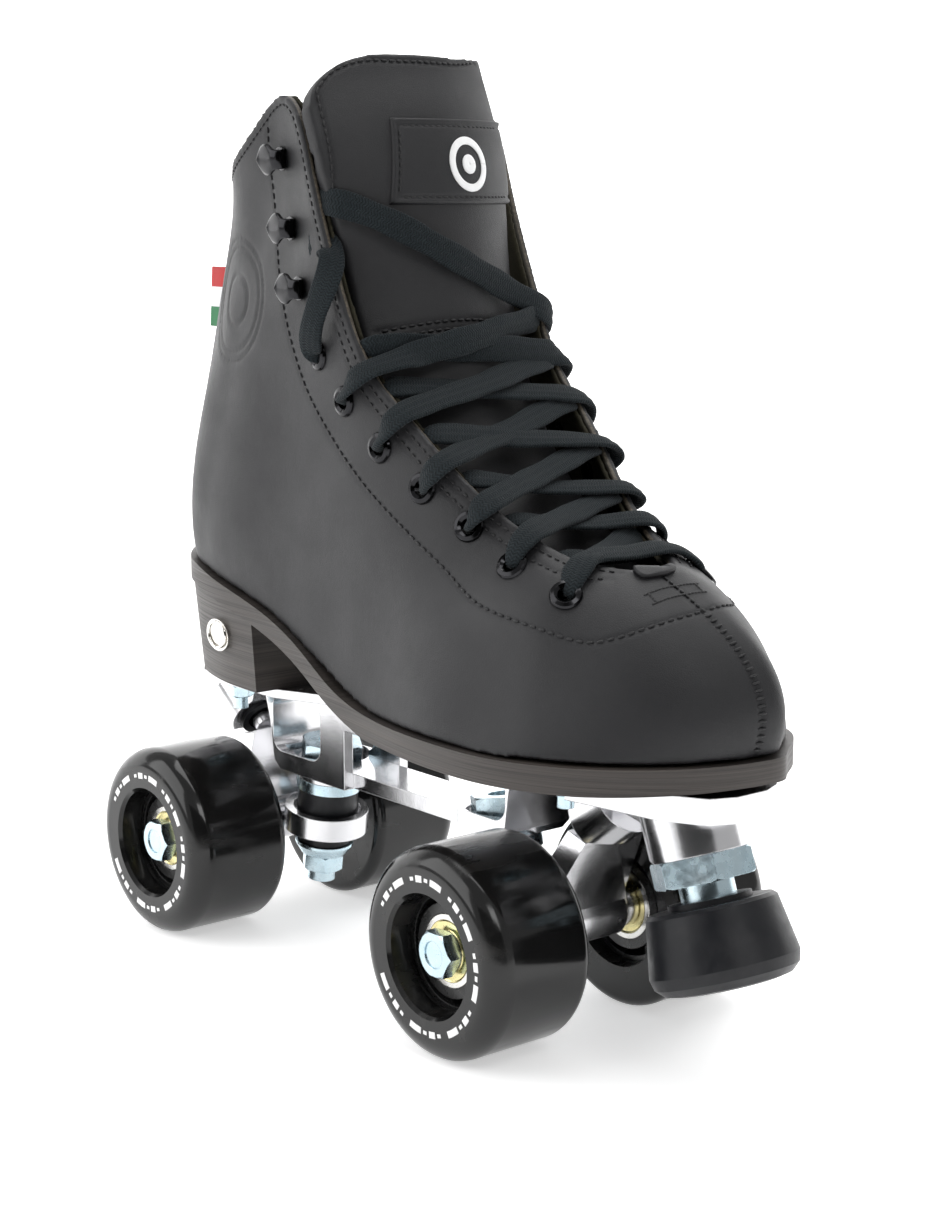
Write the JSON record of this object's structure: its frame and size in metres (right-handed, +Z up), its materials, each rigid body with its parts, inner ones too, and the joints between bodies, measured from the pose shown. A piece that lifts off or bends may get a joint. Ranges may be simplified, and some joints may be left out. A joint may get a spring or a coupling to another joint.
{
  "type": "quad roller skate",
  "caption": "Laced high-top boot on a metal plate with two sprung trucks, two pairs of wheels on ball bearings and a screw-in rubber toe stop.",
  "frame": {"origin": "bottom centre of the whole skate's box, on the ground under the wheels", "axes": "+X towards the toe, +Y towards the other foot (this is the right skate), +Z up"},
  "size_m": [0.2729, 0.1096, 0.2865],
  "materials": {
    "upper_leather": "matte fine-grain black",
    "lining": "soft, dark olive brown",
    "stacked_sole": "stacked layers, dark grey brown",
    "lace_cotton": "flat woven charcoal",
    "tab_ribbon": "woven ribbon in three bands",
    "gunmetal": "black gloss",
    "badge_metal": "polished",
    "plate_alloy": "polished",
    "zinc_steel": "bright blue zinc",
    "cushion_urethane": "black, satin",
    "wheel_urethane": "black gloss",
    "hub_nylon": "black",
    "bearing_steel": "ground steel",
    "shield_brass": "yellow chromated",
    "stop_rubber": "black, satin"
  },
  "bodies": {
    "skate": {"action_nuts": "zinc_steel", "back_tab": "tab_ribbon", "cushion_retainers_lower": "zinc_steel", "cushion_retainers_upper": "zinc_steel", "cushions_front": "cushion_urethane", "cushions_rear": "cushion_urethane", "eyelets": "gunmetal", "heel_badge": "badge_metal", "heel_block": "stacked_sole", "insole": "lining", "kingpin_lock_nuts": "zinc_steel", "kingpins": "zinc_steel", "lace_hooks": "gunmetal", "laces": "lace_cotton", "mounting_bolts": "zinc_steel", "mounting_nuts": "zinc_steel", "outsole": "stacked_sole", "pivot_cups": "cushion_urethane", "plate": "plate_alloy", "toe_stop_nut": "zinc_steel", "tongue": "upper_leather", "tongue_patch": "upper_leather", "upper_left": "upper_leather", "upper_lining": "lining", "upper_right": "upper_leather"},
    "truck_front": {"truck_front": "plate_alloy", "axle_front": "zinc_steel", "axle_nuts_front": "zinc_steel", "axle_spacers_front": "zinc_steel", "bearing_inner_rings_front": "bearing_steel"},
    "wheel_front_right": {"tyre_front_right": "wheel_urethane", "hub_front_right": "hub_nylon", "bearing_outer_rings_front_right": "bearing_steel", "bearing_shields_front_right": "shield_brass"},
    "balls_front_right": {"bearing_balls_front_right": "bearing_steel"},
    "wheel_front_left": {"tyre_front_left": "wheel_urethane", "hub_front_left": "hub_nylon", "bearing_outer_rings_front_left": "bearing_steel", "bearing_shields_front_left": "shield_brass"},
    "balls_front_left": {"bearing_balls_front_left": "bearing_steel"},
    "truck_rear": {"truck_rear": "plate_alloy", "axle_rear": "zinc_steel", "axle_nuts_rear": "zinc_steel", "axle_spacers_rear": "zinc_steel", "bearing_inner_rings_rear": "bearing_steel"},
    "wheel_rear_right": {"tyre_rear_right": "wheel_urethane", "hub_rear_right": "hub_nylon", "bearing_outer_rings_rear_right": "bearing_steel", "bearing_shields_rear_right": "shield_brass"},
    "balls_rear_right": {"bearing_balls_rear_right": "bearing_steel"},
    "wheel_rear_left": {"tyre_rear_left": "wheel_urethane", "hub_rear_left": "hub_nylon", "bearing_outer_rings_rear_left": "bearing_steel", "bearing_shields_rear_left": "shield_brass"},
    "balls_rear_left": {"bearing_balls_rear_left": "bearing_steel"},
    "toe_stop": {"toe_stop_rubber": "stop_rubber", "toe_stop_stem": "zinc_steel", "toe_stop_washer": "stop_rubber"}
  },
  "joints": [
    {"name": "truck_front_lean", "type": "hinge", "parent": "skate", "child": "truck_front", "pos_m": [0.0254, 0, 0.0365], "axis": [0.8071, 0, 0.5904], "range_deg": [-8, 8], "stiffness_Nm_per_rad": 25, "deforming": ["cushions_front"]},
    {"name": "wheel_front_right_spin", "type": "hinge", "parent": "truck_front", "child": "wheel_front_right", "pos_m": [0.0518, 0, 0.03125], "axis": [0, 1, 0], "continuous": true},
    {"name": "balls_front_right_spin", "type": "hinge", "parent": "truck_front", "child": "balls_front_right", "pos_m": [0.0518, 0, 0.03125], "axis": [0, 1, 0], "continuous": true},
    {"name": "wheel_front_left_spin", "type": "hinge", "parent": "truck_front", "child": "wheel_front_left", "pos_m": [0.0518, 0, 0.03125], "axis": [0, 1, 0], "continuous": true},
    {"name": "balls_front_left_spin", "type": "hinge", "parent": "truck_front", "child": "balls_front_left", "pos_m": [0.0518, 0, 0.03125], "axis": [0, 1, 0], "continuous": true},
    {"name": "truck_rear_lean", "type": "hinge", "parent": "skate", "child": "truck_rear", "pos_m": [-0.0712, 0, 0.0365], "axis": [-0.8071, 0, 0.5904], "range_deg": [-8, 8], "stiffness_Nm_per_rad": 25, "deforming": ["cushions_rear"]},
    {"name": "wheel_rear_right_spin", "type": "hinge", "parent": "truck_rear", "child": "wheel_rear_right", "pos_m": [-0.0976, 0, 0.03125], "axis": [0, 1, 0], "continuous": true},
    {"name": "balls_rear_right_spin", "type": "hinge", "parent": "truck_rear", "child": "balls_rear_right", "pos_m": [-0.0976, 0, 0.03125], "axis": [0, 1, 0], "continuous": true},
    {"name": "wheel_rear_left_spin", "type": "hinge", "parent": "truck_rear", "child": "wheel_rear_left", "pos_m": [-0.0976, 0, 0.03125], "axis": [0, 1, 0], "continuous": true},
    {"name": "balls_rear_left_spin", "type": "hinge", "parent": "truck_rear", "child": "balls_rear_left", "pos_m": [-0.0976, 0, 0.03125], "axis": [0, 1, 0], "continuous": true},
    {"name": "toe_stop_height", "type": "slide", "parent": "skate", "child": "toe_stop", "axis": [0.342, 0, -0.9397], "range_m": [-0.004, 0.01]}
  ],
  "couplings": [
    {"joint": "balls_front_right_spin", "follows": "wheel_front_right_spin", "ratio": 0.63233},
    {"joint": "balls_front_left_spin", "follows": "wheel_front_left_spin", "ratio": 0.63233},
    {"joint": "balls_rear_right_spin", "follows": "wheel_rear_right_spin", "ratio": 0.63233},
    {"joint": "balls_rear_left_spin", "follows": "wheel_rear_left_spin", "ratio": 0.63233}
  ]
}
